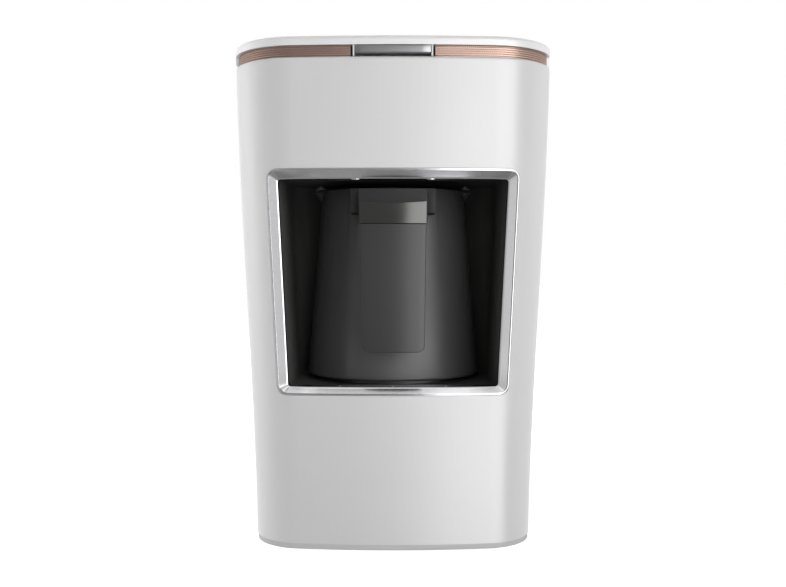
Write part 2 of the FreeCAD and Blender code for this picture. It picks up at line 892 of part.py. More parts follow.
def control_board():
    front, rear = control_board_box()
    low = control_top - board_thickness
    board = box(-control_half, control_half, front, rear, low, control_top)
    holes = [upright(small_screw + screw_clearance, x, y, 0, height) for x, y in control_standoffs()]
    save("control_board", board.cut(holes))
    length = board_thickness + control_screw_bite
    save("control_screws", *[screw(small_screw, (x, y, control_top), (0, 0, -1), length)
                             for x, y in control_standoffs()])
    x = control_half / 2
    y = (front + rear) / 2
    buzzer = upright(buzzer_radius, x, y, control_top, control_top + buzzer_height)
    save("buzzer", buzzer.cut(upright(buzzer_hole, x, y, control_top + buzzer_height / 2, height)))
    leds = []
    for side in (-1, 1):
        x = side * led_from_middle
        y = front + 2 * led_radius
        stalk = upright(led_radius, x, y, control_top, control_top + led_height - led_radius)
        dome = Part.makeSphere(led_radius, Vector(x, y, control_top + led_height - led_radius))
        leds.append(fused([stalk, dome]))
    save("status_leds", *leds)


# Window frame and chamber
def window_frame():
    inside_bead = same_grow(-frame_bead)
    bead_corner = frame_corner - frame_bead
    far_front = -depth
    far_rear = pot_y
    body = envelope(-frame_proud).common(window_prism(same_grow(0), frame_corner, -depth, far_rear))
    flange = envelope(body_wall + frame_fit).common(
        window_prism(same_grow(frame_flange), frame_corner + frame_flange, -depth, far_rear))
    solid = fused([body, flange]).cut(behind_front(frame_depth))
    funnel = Part.makeLoft([
        window_wire(inside_bead, bead_corner, level_with(far_front)),
        window_wire(inside_bead, bead_corner, on_surface(frame_step)),
        window_wire(opening_grow, frame_inner_corner, on_surface(bevel_depth)),
        window_wire(opening_grow, frame_inner_corner, level_with(far_rear)),
    ], True, True)
    solid = solid.cut(funnel)
    pilots = [frame_pilot(x, z, small_screw + screw_play, over, pilot_depth(x, z))
              for x, z in frame_screw_places()]
    save("window_frame", solid.cut(pilots))


def frame_screw_places():
    levels = (frame_top - frame_screw_from_end, frame_bottom + frame_screw_from_end)
    return [(side * (frame_side(z) + frame_screw_outset), z) for z in levels for side in (-1, 1)]


def pilot_depth(x, z):
    # The flange is thinnest at the hole's outer edge, where the body curves away
    edge = abs(x) + small_screw + screw_play
    flange_front = surface_y(edge, z, body_wall + frame_fit)
    return front_y(z) + frame_depth / math.cos(lean) - flange_front - frame_screw_skin


def frame_axis(x, z, behind):
    # A point this far behind the frame's back, square to the leaning front plane
    on_back = Vector(x, front_y(z) + frame_depth / math.cos(lean), z)
    return on_back + Vector(0, math.cos(lean), math.sin(lean)) * behind


def frame_pilot(x, z, radius, behind, ahead):
    start = frame_axis(x, z, -ahead)
    return rod(radius, start, frame_axis(x, z, 0) - start, ahead + behind)


def chamber_section(z, extra):
    side = frame_side(z) - frame_border_side + liner_over + extra
    front = -depth
    edges = [
        Part.makeLine(Vector(side, front, z), Vector(side, pot_y, z)),
        curve(Vector(side, pot_y, z), Vector(0, pot_y + side, z), Vector(-side, pot_y, z)),
        Part.makeLine(Vector(-side, pot_y, z), Vector(-side, front, z)),
        Part.makeLine(Vector(-side, front, z), Vector(side, front, z)),
    ]
    return Part.Wire(edges)


def chamber_solid(extra, low, high):
    return Part.makeLoft([chamber_section(low, extra), chamber_section(high, extra)], True, True)


def bracket_boss_places():
    return [around_pot(bracket_boss_ring, angle) for angle in bracket_boss_angles]


def around_pot(ring, angle):
    a = math.radians(angle)
    return ring * math.cos(a), pot_y + ring * math.sin(a)


def sensor_places():
    y = pot_y + sensor_behind_axis
    return [(-sensor_from_middle, y), (sensor_from_middle, y)]


def sensor_board_stands():
    y = pot_y + sensor_behind_axis + sensor_board_depth / 4
    return [(side * sensor_board_half / 2, y) for side in (-1, 1)]


def chamber_liner():
    outer = chamber_solid(liner_wall, floor - liner_wall, ceiling + liner_wall)
    hollow = chamber_solid(0, floor, ceiling)
    rear_part = behind_front(frame_depth)
    flange = window_prism(same_grow(frame_flange), frame_corner + frame_flange, -depth, pot_y)
    flange = flange.common(rear_part).cut(behind_front(frame_depth + liner_flange))
    bosses = [upright(bracket_boss_radius, x, y, bracket_top, floor - liner_wall / 2)
              for x, y in bracket_boss_places()]
    roof = ceiling + liner_wall
    stands = [upright(standoff_radius, x, y, roof - root, roof + sensor_board_standoff)
              for x, y in sensor_board_stands()]
    liner = fused([outer.common(rear_part), flange] + bosses + stands)
    cuts = [hollow, upright(seal_outer + seal_play, 0, pot_y, 0, floor + over)]
    cuts += [upright(sensor_neck_radius + sensor_play, x, y, ceiling - over, height)
             for x, y in sensor_places()]
    cuts += [upright(small_screw + screw_play, x, y, bracket_top - over, bracket_top + bracket_pilot)
             for x, y in bracket_boss_places()]
    cuts += [upright(small_screw + screw_play, x, y, roof + blind_skin, height)
             for x, y in sensor_board_stands()]
    cuts += [frame_pilot(x, z, small_screw + screw_clearance, liner_flange + over, over)
             for x, z in frame_screw_places()]
    save("chamber_liner", liner.cut(cuts))
    inward = (0, -math.cos(lean), -math.sin(lean))
    screws = []
    for x, z in frame_screw_places():
        length = liner_flange + pilot_depth(x, z) - screw_play
        screws.append(screw(small_screw, frame_axis(x, z, liner_flange), inward, length))
    save("frame_screws", *screws)


def foam_sensors():
    roof = ceiling + liner_wall
    board_low = roof + sensor_board_standoff
    flange_top = ceiling - sensor_drop
    for name, (x, y) in zip(("foam_sensor_left", "foam_sensor_right"), sensor_places()):
        flange = upright(sensor_flange_radius, x, y, flange_top - sensor_flange, flange_top)
        neck = upright(sensor_neck_radius, x, y, flange_top - sensor_flange / 2, board_low)
        save(name, fused([flange, neck]))
    y = pot_y + sensor_behind_axis
    board = box(-sensor_board_half, sensor_board_half, y - sensor_board_depth / 2, y + sensor_board_depth / 2,
                board_low, board_low + board_thickness)
    holes = [upright(small_screw + screw_clearance, x, y, 0, height) for x, y in sensor_board_stands()]
    save("sensor_board", board.cut(holes))
    board_top = board_low + board_thickness
    length = board_thickness + sensor_screw_bite
    save("sensor_board_screws", *[screw(small_screw, (x, y, board_top), (0, 0, -1), length)
                                  for x, y in sensor_board_stands()])


# Heater and what is under it
def stud_places():
    return [around_pot(stud_ring, angle) for angle in stud_angles]


def heater():
    plate_disc = upright(heater_radius, 0, pot_y, heater_under, heater_top)
    top_edge = [edge for edge in plate_disc.Edges if edge.BoundBox.ZMin > heater_top - hair]
    plate_disc = plate_disc.makeFillet(heater_edge_radius, top_edge)
    studs = [upright(stud_radius, x, y, bracket_top, heater_under + root) for x, y in stud_places()]
    disc = fused([plate_disc] + studs)
    cuts = [upright(probe_radius + probe_play, 0, pot_y, 0, height)]
    cuts += [upright(small_screw + screw_play, x, y, 0, bracket_top + bracket_pilot)
             for x, y in stud_places()]
    save("heater_plate", disc.cut(cuts))
    save("heater_screws", *[bracket_screw(x, y) for x, y in stud_places()])
    floor_under_z = floor - liner_wall
    sleeve = upright(seal_outer, 0, pot_y, floor_under_z - seal_flange_thickness, floor + seal_lip)
    collar = upright(seal_outer + seal_flange, 0, pot_y, floor_under_z - seal_flange_thickness, floor_under_z)
    save("heater_seal", fused([sleeve, collar]).cut(upright(seal_bore, 0, pot_y, 0, height)))


def heater_element():
    middle = heater_under - element_radius + element_flat
    start = 270 + element_opening / 2
    ring = Part.makeTorus(element_ring, element_radius, Vector(0, pot_y, middle), Vector(0, 0, 1), 0, 360,
                          360 - element_opening)
    ring.rotate(Vector(0, pot_y, 0), Vector(0, 0, 1), start)
    above = slab(-depth, depth, heater_under, height)
    pieces = [ring.cut(above)]
    for x, y in element_ends():
        pieces.append(Part.makeSphere(element_radius, Vector(x, y, middle)).cut(above))
        pieces.append(upright(lead_radius + element_pin_over, x, y, middle - element_pin, middle))
    save("heater_element", fused(pieces))


def element_ends():
    half = element_opening / 2
    return [around_pot(element_ring, 270 - half), around_pot(element_ring, 270 + half)]


def heater_bracket():
    hub = upright(bracket_hub, 0, pot_y, bracket_under, bracket_top)
    arms = []
    for x, y in bracket_boss_places():
        length = bracket_boss_ring + bracket_boss_radius
        arm = box(0, length, -bracket_arm_half, bracket_arm_half, bracket_under, bracket_top)
        arm.rotate(Vector(), Vector(0, 0, 1), math.degrees(math.atan2(y - pot_y, x)))
        arm.translate(Vector(0, pot_y, 0))
        arms.append(arm)
    cuts = [upright(probe_stem + probe_guide_play, 0, pot_y, 0, height)]
    cuts += [upright(small_screw + screw_clearance, x, y, 0, height)
             for x, y in bracket_boss_places() + stud_places()]
    save("heater_bracket", fused([hub] + arms).cut(cuts))
    save("bracket_screws", *[bracket_screw(x, y) for x, y in bracket_boss_places()])


def bracket_screw(x, y):
    return screw(small_screw, (x, y, bracket_under), (0, 0, 1), bracket_thickness + bracket_screw_bite)


def thermal_cutouts():
    x, y = around_pot(thermostat_ring, thermostat_angle)
    can = upright(thermostat_radius, x, y, heater_under - thermostat_height, heater_under)
    rim_low = heater_under - thermostat_rim_height
    rim = upright(thermostat_radius + thermostat_rim, x, y, rim_low, heater_under)
    save("thermostat", fused([can, rim]))
    y = pot_y - fuse_ring
    start = (-fuse_length / 2, y, heater_under - fuse_radius)
    save("thermal_fuse", rod(fuse_radius, start, (1, 0, 0), fuse_length))


def temperature_probe():
    cap = upright(probe_radius, 0, pot_y, heater_top - probe_cap, heater_top)
    stem = upright(probe_stem, 0, pot_y, bracket_under - probe_below, heater_top - probe_cap / 2)
    save("temperature_probe", fused([cap, stem]))
    low = bracket_top + probe_spring_wire + spring_seat
    length = heater_top - probe_cap - probe_spring_wire - spring_seat - low
    save("probe_spring", coil((0, pot_y, low), (0, 0, 1), probe_spring_radius, probe_spring_wire, length,
                              probe_spring_turns))
    clip_top = bracket_under - clip_play
    clip = upright(clip_radius, 0, pot_y, clip_top - clip_thickness, clip_top)
    save("probe_clip", clip.cut(upright(probe_stem + clip_play, 0, pot_y, 0, height)))


# Pot
def pot_radius(z):
    return pot_base_radius + (pot_rim_radius - pot_base_radius) * (z - pot_bottom) / pot_height


def turned(points):
    outline = [Vector(r, pot_y, z) for r, z in points]
    face = Part.Face(Part.makePolygon(outline + outline[:1]))
    return face.revolve(Vector(0, pot_y, 0), Vector(0, 0, 1), 360)


def spout(side, shrink):
    # A cone whose point sits in the wall and whose mouth leans out over the rim
    start_x = pot_radius(pot_rim) - spout_sink
    cone = Part.makeCone(0, spout_radius, spout_length)
    cone.rotate(Vector(), Vector(0, 1, 0), side * spout_angle)
    base_x = side * (start_x - math.sin(math.radians(spout_angle)) * spout_length * spout_set_back)
    cone.translate(Vector(base_x, pot_y, pot_rim - spout_length * spout_below_rim))
    if shrink:
        cone.translate(Vector(-side * shrink, 0, shrink))
    return cone


def pot():
    floor_low = pot_bottom + pot_disc_thickness
    floor_high = floor_low + pot_floor
    body = turned([(0, pot_bottom), (pot_base_radius, pot_bottom), (pot_rim_radius, pot_rim), (0, pot_rim)])
    bottom_edge = [edge for edge in body.Edges
                   if edge.BoundBox.ZMax < pot_bottom + hair and edge.Length > pot_base_radius]
    body = body.makeFillet(pot_edge_radius, bottom_edge)
    above = slab(-depth, depth, pot_rim, tall)
    outer_spouts = [spout(side, 0).cut(above) for side in (-1, 1)]
    inner_spouts = [spout(side, pot_wall) for side in (-1, 1)]
    body = fused([body] + outer_spouts)
    rim_over = pot_rim + over
    hollow = turned([
        (0, floor_high), (pot_radius(floor_high) - pot_wall, floor_high),
        (pot_radius(rim_over) - pot_wall, rim_over), (0, rim_over),
    ])
    disc_radius = pot_radius(floor_low) - pot_skirt
    recess = upright(disc_radius, 0, pot_y, pot_bottom - over, floor_low)
    below = slab(-depth, depth, 0, floor_high + pot_height / 2)
    hollow = fused([hollow] + [cone.cut(below) for cone in inner_spouts])
    body = body.cut([hollow, recess] + [rivet_hole(angle) for angle in rivet_angles()])
    save("pot_body", body)
    disc = upright(disc_radius - pot_disc_play, 0, pot_y, pot_bottom, floor_low)
    save("pot_base", disc)


def rivet_angles():
    return (-rivet_angle, rivet_angle)


def bracket_levels():
    high = pot_rim - bracket_from_rim
    return high - bracket_drop_height, high


def rivet_line(angle):
    # Where the rivet's head seats on the curved inside of the pot, and its way out
    low, high = bracket_levels()
    z = (low + high) / 2
    inner = pot_radius(z + rivet_head) - pot_wall
    reach = math.sqrt(inner**2 - rivet_head**2)
    out = Vector(math.sin(math.radians(angle)), -math.cos(math.radians(angle)), 0)
    return Vector(0, pot_y, z) + out * reach, out


def rivet_hole(angle):
    seat, out = rivet_line(angle)
    return rod(rivet_radius + screw_play, seat - out * rivet_reach, out, pot_wall + 2 * rivet_reach + over)


def handle():
    low, high = bracket_levels()
    front = pot_y - bracket_front
    web_front = pot_y - bracket_web_front
    pocket_half = bracket_half - bracket_cheek
    block = fused([box(-bracket_half, bracket_half, front, pot_y, low, high),
                   box(-pocket_half, pocket_half, web_front, pot_y, low - web_drop, high)])
    pocket = box(-pocket_half, pocket_half, front - over, web_front, low - over, high - bracket_hood)
    grown = turned([(0, pot_bottom), (pot_base_radius + bracket_fit, pot_bottom),
                    (pot_rim_radius + bracket_fit, pot_rim), (0, pot_rim)])
    screw_z = handle_levels()[1] - handle_screw_drop
    screw_hole = rod(body_screw + screw_play, (0, web_front - over, screw_z), (0, 1, 0),
                     handle_screw_reach + screw_end_play)
    holes = [rivet_hole(angle) for angle in rivet_angles()]
    save("handle_bracket", block.cut([pocket, grown, screw_hole] + holes))
    rivets = []
    for angle in rivet_angles():
        seat, out = rivet_line(angle)
        shank = rod(rivet_radius, seat, out, pot_wall + rivet_reach)
        head = rod(rivet_head, seat, -out, rivet_head_height)
        rivets.append(fused([shank, head]))
    save("bracket_rivets", *rivets)

    bottom, top = handle_levels()
    handle_front = pot_y - handle_reach
    face_back = handle_front + face_thickness
    grip_back = face_back + grip_thickness
    crown = upright(handle_crown, 0, handle_front + handle_crown, 0, height)
    outline = handle_prism(bottom, top, 0, handle_front - over, face_back).common(crown)
    seam_z = top - band_height
    face = outline.common(slab(-depth, depth, 0, seam_z - band_gap))
    save("handle_face", face)
    band = outline.common(slab(-depth, depth, seam_z, height))
    dip_radius = handle_half_top**2 / (2 * band_dip)
    dip_start = (0, handle_front - over, top + dip_radius - band_dip)
    save("handle_band", band.cut(rod(dip_radius, dip_start, (0, 1, 0), face_thickness + 2 * over)))
    grip_top = top - band_dip - grip_under_band
    back = handle_prism(bottom + grip_margin, grip_top, grip_margin, face_back, grip_back)
    arm_half = pocket_half - arm_play
    arm_top = high - bracket_hood - arm_play
    arm = box(-arm_half, arm_half, face_back + root, web_front, low - web_drop, arm_top)
    seat = face_back + screw_head_height + head_sink
    well = rod(body_screw * screw_head_ratio + head_play, (0, face_back - over, screw_z), (0, 1, 0),
               seat - face_back + over)
    passage = rod(body_screw + screw_clearance, (0, face_back, screw_z), (0, 1, 0), depth)
    save("handle_grip", fused([back, arm]).cut([well, passage]))
    length = web_front - seat + handle_screw_reach
    save("handle_screw", screw(body_screw, (0, seat, screw_z), (0, 1, 0), length))


def handle_levels():
    top = pot_rim - handle_top_drop
    return top - handle_height, top


def handle_prism(low, high, margin, y0, y1):
    bottom, top = handle_levels()
    slope = (handle_half_top - handle_half_bottom) / handle_height

    def side(z):
        return handle_half_bottom + slope * (z - bottom) - margin

    r = handle_corner - margin
    left = -side(low)
    right = side(low)
    bulge = r * (1 - math.sqrt(0.5))
    edges = [
        Part.makeLine(Vector(-side(high), y0, high), Vector(side(high), y0, high)),
        Part.makeLine(Vector(side(high), y0, high), Vector(side(low + r), y0, low + r)),
        curve(Vector(side(low + r), y0, low + r), Vector(right - bulge, y0, low + bulge),
              Vector(right - r, y0, low)),
        Part.makeLine(Vector(right - r, y0, low), Vector(left + r, y0, low)),
        curve(Vector(left + r, y0, low), Vector(left + bulge, y0, low + bulge),
              Vector(-side(low + r), y0, low + r)),
        Part.makeLine(Vector(-side(low + r), y0, low + r), Vector(-side(high), y0, high)),
    ]
    return Part.Face(Part.Wire(edges)).extrude(Vector(0, y1 - y0, 0))


# Base, feet and power board
def foot_places():
    x = half_width(0) - foot_from_side
    return [(side * x, y) for side in (-1, 1)
            for y in (front_y(0) + foot_from_front, rear_y(0) - foot_from_rear)]


def power_standoffs():
    x = power_half - 2 * standoff_radius
    return [(side * x, y) for side in (-1, 1)
            for y in (-power_front + 2 * standoff_radius, power_rear - 2 * standoff_radius)]


def base():
    floor_plate = plate(base_inset, foot_proud, base_top)
    lip_inset = body_wall + shell_play
    lip = plate(lip_inset, base_top - root, base_top + base_lip_height)
    lip = lip.cut(plate(lip_inset + base_lip_wall, base_top - over, height))
    stands = [upright(power_stand_radius, x, y, base_top - root, base_top + power_standoff)
              for x, y in power_standoffs()]
    whole = fused([floor_plate, lip] + stands)
    cuts = []
    for x, y in base_boss_places():
        cuts.append(upright(body_screw + screw_clearance, x, y, 0, height))
        cuts.append(upright(body_screw * screw_head_ratio + head_play, x, y, 0, foot_proud + base_recess))
    for x, y in foot_places():
        cuts.append(upright(foot_radius + foot_play, x, y, 0, foot_thickness))
    cuts += [upright(small_screw + screw_play, x, y, base_top + blind_skin, height)
             for x, y in power_standoffs()]
    save("base_plate", whole.cut(cuts))
    feet = []
    for x, y in foot_places():
        foot = upright(foot_radius, x, y, 0, foot_thickness)
        edge = [e for e in foot.Edges if e.BoundBox.ZMax < hair]
        feet.append(foot.makeChamfer(foot_chamfer, edge))
    save("rubber_feet", *feet)
    head_z = foot_proud + base_recess
    save("base_screws", *[screw(body_screw, (x, y, head_z), (0, 0, 1), base_screw_length - base_recess)
                          for x, y in base_boss_places()])


def on_board(size, place):
    wide, deep, tall_by = size
    x, y = place
    return box(x - wide / 2, x + wide / 2, y - deep / 2, y + deep / 2, power_top, power_top + tall_by)


def power_board():
    board = box(-power_half, power_half, -power_front, power_rear, power_top - board_thickness, power_top)
    holes = [upright(small_screw + screw_clearance, x, y, 0, height) for x, y in power_standoffs()]
    save("power_board", board.cut(holes))
    length = board_thickness + power_screw_bite
    save("power_board_screws", *[screw(small_screw, (x, y, power_top), (0, 0, -1), length)
                                 for x, y in power_standoffs()])
    save("relay", on_board(relay_size, relay_place))
    core = on_board(transformer_size, transformer_place)
    wide, deep, tall_by = transformer_size
    x, y = transformer_place
    half = wide / 2 - winding_inset
    out = deep / 2 + winding_proud
    winding = box(x - half, x + half, y - out, y + out,
                  power_top + winding_above_board, power_top + tall_by - winding_inset)
    save("transformer", fused([core, winding]))
    save("capacitor", upright(capacitor_radius, *capacitor_place, power_top, power_top + capacitor_height))
    block = on_board(terminal_size, terminal_place)
    top = power_top + terminal_size[2]
    x, y = terminal_place
    wells = [upright(terminal_well_radius, x + dx, y - terminal_entry, top - terminal_well_depth, top + over)
             for dx in (-terminal_well_from_middle, terminal_well_from_middle)]
    save("terminal_block", block.cut(wells))
    save("board_connector", on_board(connector_size, connector_place))


# Wiring
def wiring():
    ends = element_ends()
    top_z = heater_under - element_radius + element_flat - element_pin
    terminal_top = power_top + terminal_size[2]
    level = (top_z + terminal_top) / 2
    leads = []
    for (x, y), dx in zip(ends, (-lead_from_middle, lead_from_middle)):
        tx = terminal_place[0] + dx / 2
        ty = terminal_place[1] + terminal_entry
        leads.append(wire_run([(x, y, top_z), (x, y, level), (tx, ty, level), (tx, ty, terminal_top)],
                              lead_radius, lead_bend))
    save("heater_leads", *leads)
    x, y = connector_place
    top = power_top + connector_size[2]
    plug_x, plug_y = control_plug()
    back_y = pot_y + half_width(height) + harness_behind_chamber - harness_bend
    under = deck_bottom - harness_under_deck - harness_bend
    crossing = top + 2 * harness_bend + harness_rise
    route = [(x, y, top), (x, y, crossing), (x, back_y, crossing), (x, back_y, under),
             (plug_x, plug_y, under), (plug_x, plug_y, control_top - board_thickness)]
    run = wire_run(route, harness_radius, harness_bend)
    save("board_harness", run)


# Cord inlet
def cord_inlet():
    seat = inlet_seat()
    collar = rod(gland_flange_radius, (inlet_x, seat, inlet_z), (0, 1, 0), gland_flange)
    neck = rod(gland_neck, (inlet_x, seat + gland_flange - gland_length, inlet_z), (0, 1, 0), gland_length)
    bore = rod(gland_bore, (inlet_x, 0, inlet_z), (0, 1, 0), depth)
    save("cord_gland", fused([collar, neck]).cut(bore))
    inner_face = seat - nut_seat()
    nut = Part.Face(Part.makePolygon([
        Vector(inlet_x + nut_radius * math.cos(math.radians(60 * i)), inner_face,
               inlet_z + nut_radius * math.sin(math.radians(60 * i))) for i in range(7)]))
    nut = nut.extrude(Vector(0, -nut_thickness, 0))
    save("gland_nut", nut.cut(rod(gland_neck + screw_play, (inlet_x, 0, inlet_z), (0, 1, 0), depth)))


def nut_seat():
    lowest = inlet_z - nut_radius
    return inlet_seat() - rear_y(lowest) + body_wall + nut_play


def rear_screws():
    seat = rear_boss_front() + rear_boss_web
    screws = [screw(body_screw, (x, seat, z), (0, -1, 0), rear_boss_web + rear_screw_bite)
              for x, z in rear_screw_places()]
    save("rear_screws", *screws)


shell = whole_shell()
body_shell(shell)
rear_cover(shell)
rear_screws()
top_cover()
top_deck()
vent_bands()
push_bar()
button_housing()
control_board()
window_frame()
chamber_liner()
foam_sensors()
heater()
heater_element()
heater_bracket()
thermal_cutouts()
temperature_probe()
pot()
handle()
base()
power_board()
wiring()
cord_inlet()
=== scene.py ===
import json
import math

import bmesh
import bpy
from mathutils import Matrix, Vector


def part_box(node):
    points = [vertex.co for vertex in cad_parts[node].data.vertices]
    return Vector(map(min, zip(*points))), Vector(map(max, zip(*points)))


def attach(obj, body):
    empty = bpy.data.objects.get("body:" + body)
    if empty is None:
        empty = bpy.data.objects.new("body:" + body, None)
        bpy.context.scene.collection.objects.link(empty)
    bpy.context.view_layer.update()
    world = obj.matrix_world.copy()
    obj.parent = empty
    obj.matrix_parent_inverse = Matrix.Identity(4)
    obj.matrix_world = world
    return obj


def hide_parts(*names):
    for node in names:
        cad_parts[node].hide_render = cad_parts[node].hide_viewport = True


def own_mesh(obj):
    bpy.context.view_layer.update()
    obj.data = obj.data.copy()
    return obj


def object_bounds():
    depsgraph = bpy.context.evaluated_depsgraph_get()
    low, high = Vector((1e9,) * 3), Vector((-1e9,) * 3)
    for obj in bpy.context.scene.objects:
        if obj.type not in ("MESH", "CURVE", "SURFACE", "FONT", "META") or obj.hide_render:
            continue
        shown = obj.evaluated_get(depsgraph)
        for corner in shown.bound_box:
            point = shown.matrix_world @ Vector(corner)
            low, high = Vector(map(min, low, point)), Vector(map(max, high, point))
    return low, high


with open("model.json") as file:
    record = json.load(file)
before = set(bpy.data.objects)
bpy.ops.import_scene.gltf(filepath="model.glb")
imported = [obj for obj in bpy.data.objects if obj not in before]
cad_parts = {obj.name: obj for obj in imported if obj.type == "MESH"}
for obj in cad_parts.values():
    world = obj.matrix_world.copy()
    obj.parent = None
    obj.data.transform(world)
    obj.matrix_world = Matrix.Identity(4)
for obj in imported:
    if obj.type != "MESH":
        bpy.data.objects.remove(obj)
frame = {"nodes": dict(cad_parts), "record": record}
cad_box = [list(corner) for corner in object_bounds()]
nodes = frame["nodes"]

MM = 0.001

# Camera of the photograph, in its own pixels
PHOTO_WIDE = 786
PHOTO_HIGH = 587
HORIZON_ROW = 266
FOCAL_PIXELS = 938
SENSOR = 36.0
EYE_HEIGHT = 0.1389
EYE_TO_FRONT = 0.450

FLOOR_REACH = 6.0
PAPER_WHITE = 1.0
FLOOR_GLOW = 0.6
GLOW_STRENGTH = 1.6
UNDER_TABLE = 0.3
BEHIND_EYE = 0.4
SKY_LIGHT = 0.12
LIGHTS_AIM = 0.12
# Where the room that a surface mirrors turns from dark to white, along Z and along Y
DARK_BELOW = (-0.85, -0.45)
DARK_BEHIND = (-0.85, 0.1)

# Outline of the housing, in millimetres
HEIGHT = 250.0
DEPTH = 190.0
HALF_TOP = 80.9
HALF_BOTTOM = 69.6
TAPER_SWING = 0.62
FRONT_LEAN = 6.0
BOW_TOP = 620.0
BOW_BOTTOM = 360.0
CORNER_TOP = 34.0
CORNER_BOTTOM = 26.0

# Window frame
FRAME_CORNER = 5.0
BORDER_TOP = 4.8
BORDER_BOTTOM = 3.8
BORDER_SIDE = 5.0
FRAME_BACK = 13.0
FRAME_FLANGE = 3.5
STRIP_TOP = 16.66
STRIP_BOTTOM = 15.95
BEVEL_DEEP = 4.5
FOOT_EASE = 0.95
FOOT_EASE_HEIGHT = 7.0
SIDE_EXTRA = 0.9
SIDE_REACH = 6.0
RING_CORNER_STEPS = 6
RING_SIDE_STEPS = 24
# The ring that the sloping face starts from, and the rows that it is cut into
SLOPE_RING = 9
SLOPE_CUTS = 8
TAB_X = 18.4
RIB_X = 26.0

# Perforated band
BAND_ROWS = 5
BAND_PITCH = 0.97
BAND_HOLE = 0.39
HOLE_START = 0.2
BAND_SHEET = 0.35
BAND_INSET = 1.5
BAND_RAISE = 0.5

# Surface of moulded plastic, and the share of a noise that its two tones use
NOISE_LOW = 0.3
NOISE_HIGH = 0.7
PATCH_SCALE = 35
GRAIN_SCALE = 900
GRAIN_DEPTH = 4e-6
COAT_ROUGHNESS = 0.33

# Window tabs and ribs: half sizes and sizes, in millimetres
TAB_SIZE = (2.1, 0.7, 0.6)
TAB_BEHIND = 0.4
RIB_SIZE = (0.5, 3.0, 0.9)
RIB_BEHIND = 2.0

# Angles in degrees: joined as flat under, rounded over, and shaded smooth under
CLOSE_TO_FLAT = 0.4
SHARP_OVER = 35
SMOOTH_UNDER = 32
FRAME_SMOOTH_UNDER = 28
BAND_SMOOTH_UNDER = 50


# Materials
def new_material(name):
    material = bpy.data.materials.new(name)
    material.use_nodes = True
    tree = material.node_tree
    return material, tree, tree.nodes["Principled BSDF"]


def object_noise(tree, scale, detail=2.0, stretch=(1, 1, 1)):
    place = tree.nodes.new("ShaderNodeTexCoord")
    mapping = tree.nodes.new("ShaderNodeMapping")
    mapping.inputs["Scale"].default_value = stretch
    noise = tree.nodes.new("ShaderNodeTexNoise")
    noise.inputs["Scale"].default_value = scale
    noise.inputs["Detail"].default_value = detail
    tree.links.new(place.outputs["Object"], mapping.inputs["Vector"])
    tree.links.new(mapping.outputs["Vector"], noise.inputs["Vector"])
    return noise.outputs["Fac"]


def ranged(tree, value, low, high, start=NOISE_LOW, end=NOISE_HIGH):
    spread = tree.nodes.new("ShaderNodeMapRange")
    spread.inputs["From Min"].default_value = start
    spread.inputs["From Max"].default_value = end
    spread.inputs["To Min"].default_value = low
    spread.inputs["To Max"].default_value = high
    tree.links.new(value, spread.inputs["Value"])
    return spread.outputs["Result"]


def combined(tree, operation, first, second):
    both = tree.nodes.new("ShaderNodeMath")
    both.operation = operation
    tree.links.new(first, both.inputs[0])
    tree.links.new(second, both.inputs[1])
    return both.outputs["Value"]


def two_tone(tree, value, first, second):
    ramp = tree.nodes.new("ShaderNodeValToRGB")
    ramp.color_ramp.elements[0].position = NOISE_LOW
    ramp.color_ramp.elements[0].color = (*first, 1)
    ramp.color_ramp.elements[1].position = NOISE_HIGH
    ramp.color_ramp.elements[1].color = (*second, 1)
    tree.links.new(value, ramp.inputs["Fac"])
    return ramp.outputs["Color"]


def bumped(tree, shader, value, depth):
    bump = tree.nodes.new("ShaderNodeBump")
    bump.inputs["Distance"].default_value = depth
    tree.links.new(value, bump.inputs["Height"])
    tree.links.new(bump.outputs["Normal"], shader.inputs["Normal"])


def moulded(name, colour, rough, coat=0.0, shade=0.96, gloss=0.5, patchy=0.08):
    # Moulded plastic: fine grain in the surface and faint patches in colour and gloss
    material, tree, shader = new_material(name)
    patches = object_noise(tree, PATCH_SCALE)
    darker = tuple(c * shade for c in colour)
    tree.links.new(two_tone(tree, patches, darker, colour), shader.inputs["Base Color"])
    uneven = ranged(tree, patches, rough * (1 - patchy), rough * (1 + patchy))
    tree.links.new(uneven, shader.inputs["Roughness"])
    bumped(tree, shader, object_noise(tree, GRAIN_SCALE, 3), GRAIN_DEPTH)
    shader.inputs["Coat Weight"].default_value = coat
    shader.inputs["Coat Roughness"].default_value = COAT_ROUGHNESS
    shader.inputs["Specular IOR Level"].default_value = gloss
    return material


def satin_metal(name, colour, rough, stretch=(1, 1, 1), lines=600, line_depth=3e-6):
    material, tree, shader = new_material(name)
    streaks = object_noise(tree, lines, 4, stretch)
    darker = tuple(c * 0.95 for c in colour)
    tree.links.new(two_tone(tree, streaks, darker, colour), shader.inputs["Base Color"])
    tree.links.new(ranged(tree, streaks, rough * 0.9, rough * 1.1), shader.inputs["Roughness"])
    bumped(tree, shader, streaks, line_depth)
    shader.inputs["Metallic"].default_value = 1.0
    return material


def laminate(name):
    material, tree, shader = new_material(name)
    place = tree.nodes.new("ShaderNodeTexCoord")
    tracks = tree.nodes.new("ShaderNodeTexBrick")
    tracks.inputs["Scale"].default_value = 260
    tracks.inputs["Color1"].default_value = (0.012, 0.10, 0.045, 1)
    tracks.inputs["Color2"].default_value = (0.016, 0.13, 0.06, 1)
    tracks.inputs["Mortar"].default_value = (0.10, 0.22, 0.09, 1)
    tree.links.new(place.outputs["Object"], tracks.inputs["Vector"])
    tree.links.new(tracks.outputs["Color"], shader.inputs["Base Color"])
    shader.inputs["Roughness"].default_value = 0.35
    return material


